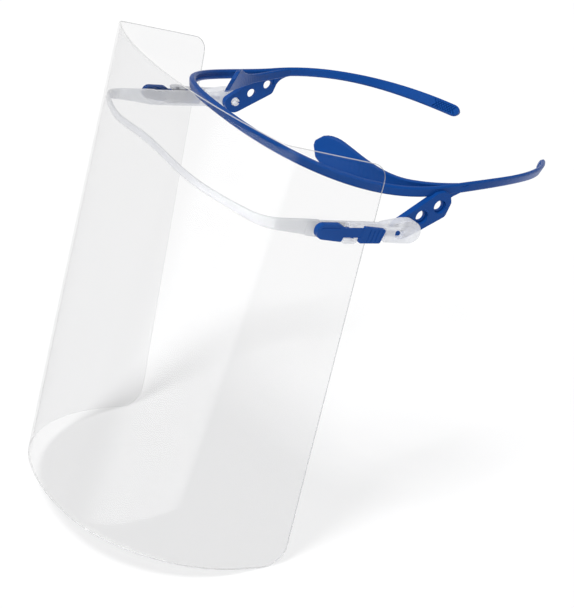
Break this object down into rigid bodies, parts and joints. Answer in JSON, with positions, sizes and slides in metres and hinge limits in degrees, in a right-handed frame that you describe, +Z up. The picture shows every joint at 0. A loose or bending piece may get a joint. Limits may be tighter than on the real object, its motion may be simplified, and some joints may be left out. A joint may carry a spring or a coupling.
{
  "type": "face shield",
  "caption": "Face shield: open oval head frame with forehead paddles, a pivoting clear carrier, a bent clear visor sheet and side latches.",
  "frame": {"origin": "centre of the bounding box at rest, on the left-right middle plane", "axes": "+X towards the wearer's left along the pivot axis, -Y the way the wearer looks, +Z up"},
  "size_m": [0.1626, 0.2162, 0.1878],
  "materials": {
    "blue_plastic": "satin moulded",
    "latch_blue_plastic": "satin moulded",
    "frosted_plastic": "frosted clear plastic",
    "clear_sheet": "polished clear plastic sheet"
  },
  "bodies": {
    "head_frame": {"head_frame": "blue_plastic"},
    "carrier": {"visor_carrier": "frosted_plastic"},
    "sheet": {"visor_sheet": "clear_sheet"},
    "latch_left": {"latch_left": "latch_blue_plastic"},
    "latch_right": {"latch_right": "latch_blue_plastic"}
  },
  "joints": [
    {"name": "visor_tilt", "type": "hinge", "parent": "head_frame", "child": "carrier", "pos_m": [0, 0.01604, 0.04488], "axis": [1, 0, 0], "range_deg": [-60, 5]},
    {"name": "sheet_slide", "type": "slide", "parent": "carrier", "child": "sheet", "axis": [0, -0.9763, 0.2164], "range_m": [0, 0.005]},
    {"name": "latch_left_rock", "type": "hinge", "parent": "carrier", "child": "latch_left", "pos_m": [0.0795, -0.00866, 0.05035], "axis": [0, 0.2164, 0.9763], "range_deg": [0, 4]},
    {"name": "latch_right_rock", "type": "hinge", "parent": "carrier", "child": "latch_right", "pos_m": [-0.0795, -0.00866, 0.05035], "axis": [0, 0.2164, 0.9763], "range_deg": [-4, 0]}
  ]
}
